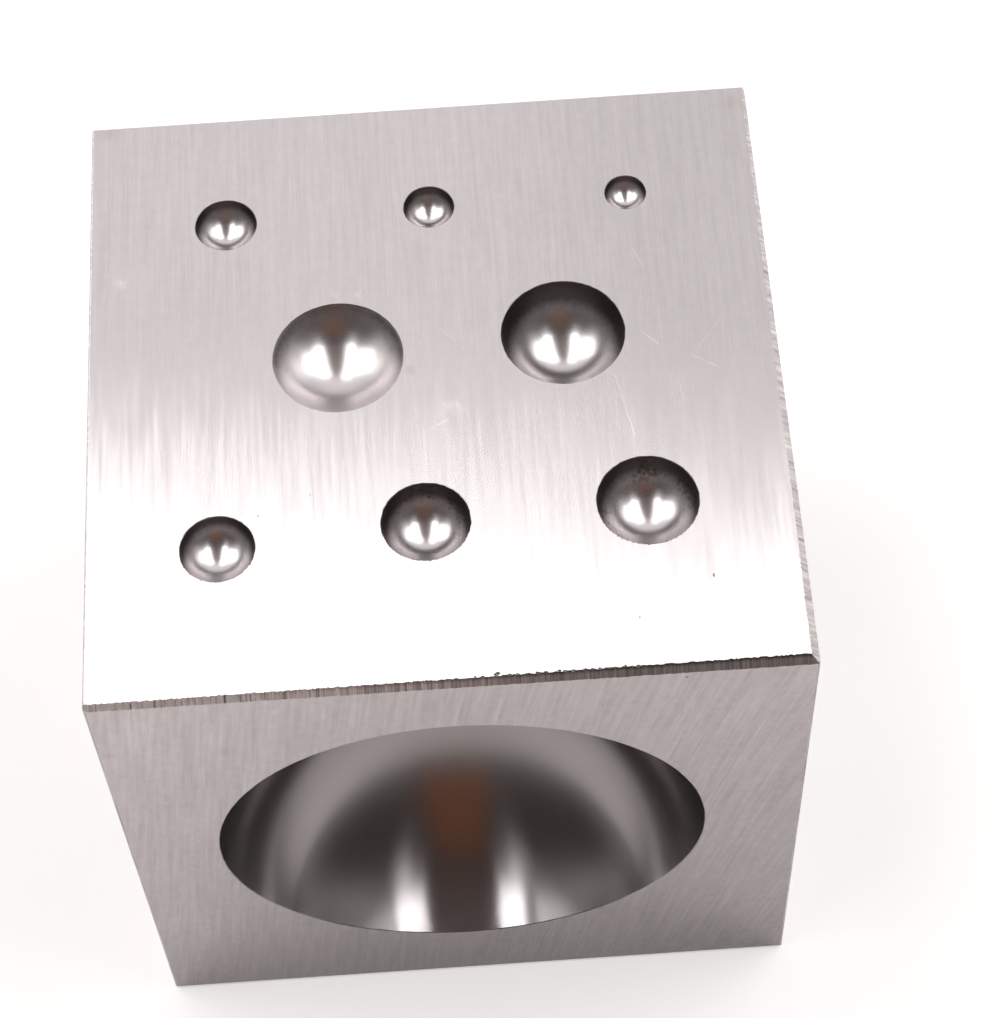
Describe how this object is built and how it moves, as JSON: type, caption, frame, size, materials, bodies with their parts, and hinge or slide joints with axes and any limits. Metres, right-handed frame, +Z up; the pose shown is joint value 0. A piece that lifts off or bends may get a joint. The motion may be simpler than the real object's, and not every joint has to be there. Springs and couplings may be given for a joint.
{
  "type": "dapping block",
  "caption": "Solid steel dapping block: a cube with graded round cups sunk in every face, for doming discs of sheet metal under a ball-ended punch.",
  "frame": {"origin": "middle of the bottom face", "axes": "+Z up, -Y out of the face that holds the single great cup, +X to the right of someone who looks at that face"},
  "size_m": [0.05, 0.05, 0.05],
  "materials": {
    "ground_steel": "ground flats with a fine grain, polished cups, bare and uncoated"
  },
  "bodies": {
    "root": {"dapping_block": "ground_steel"}
  },
  "joints": []
}
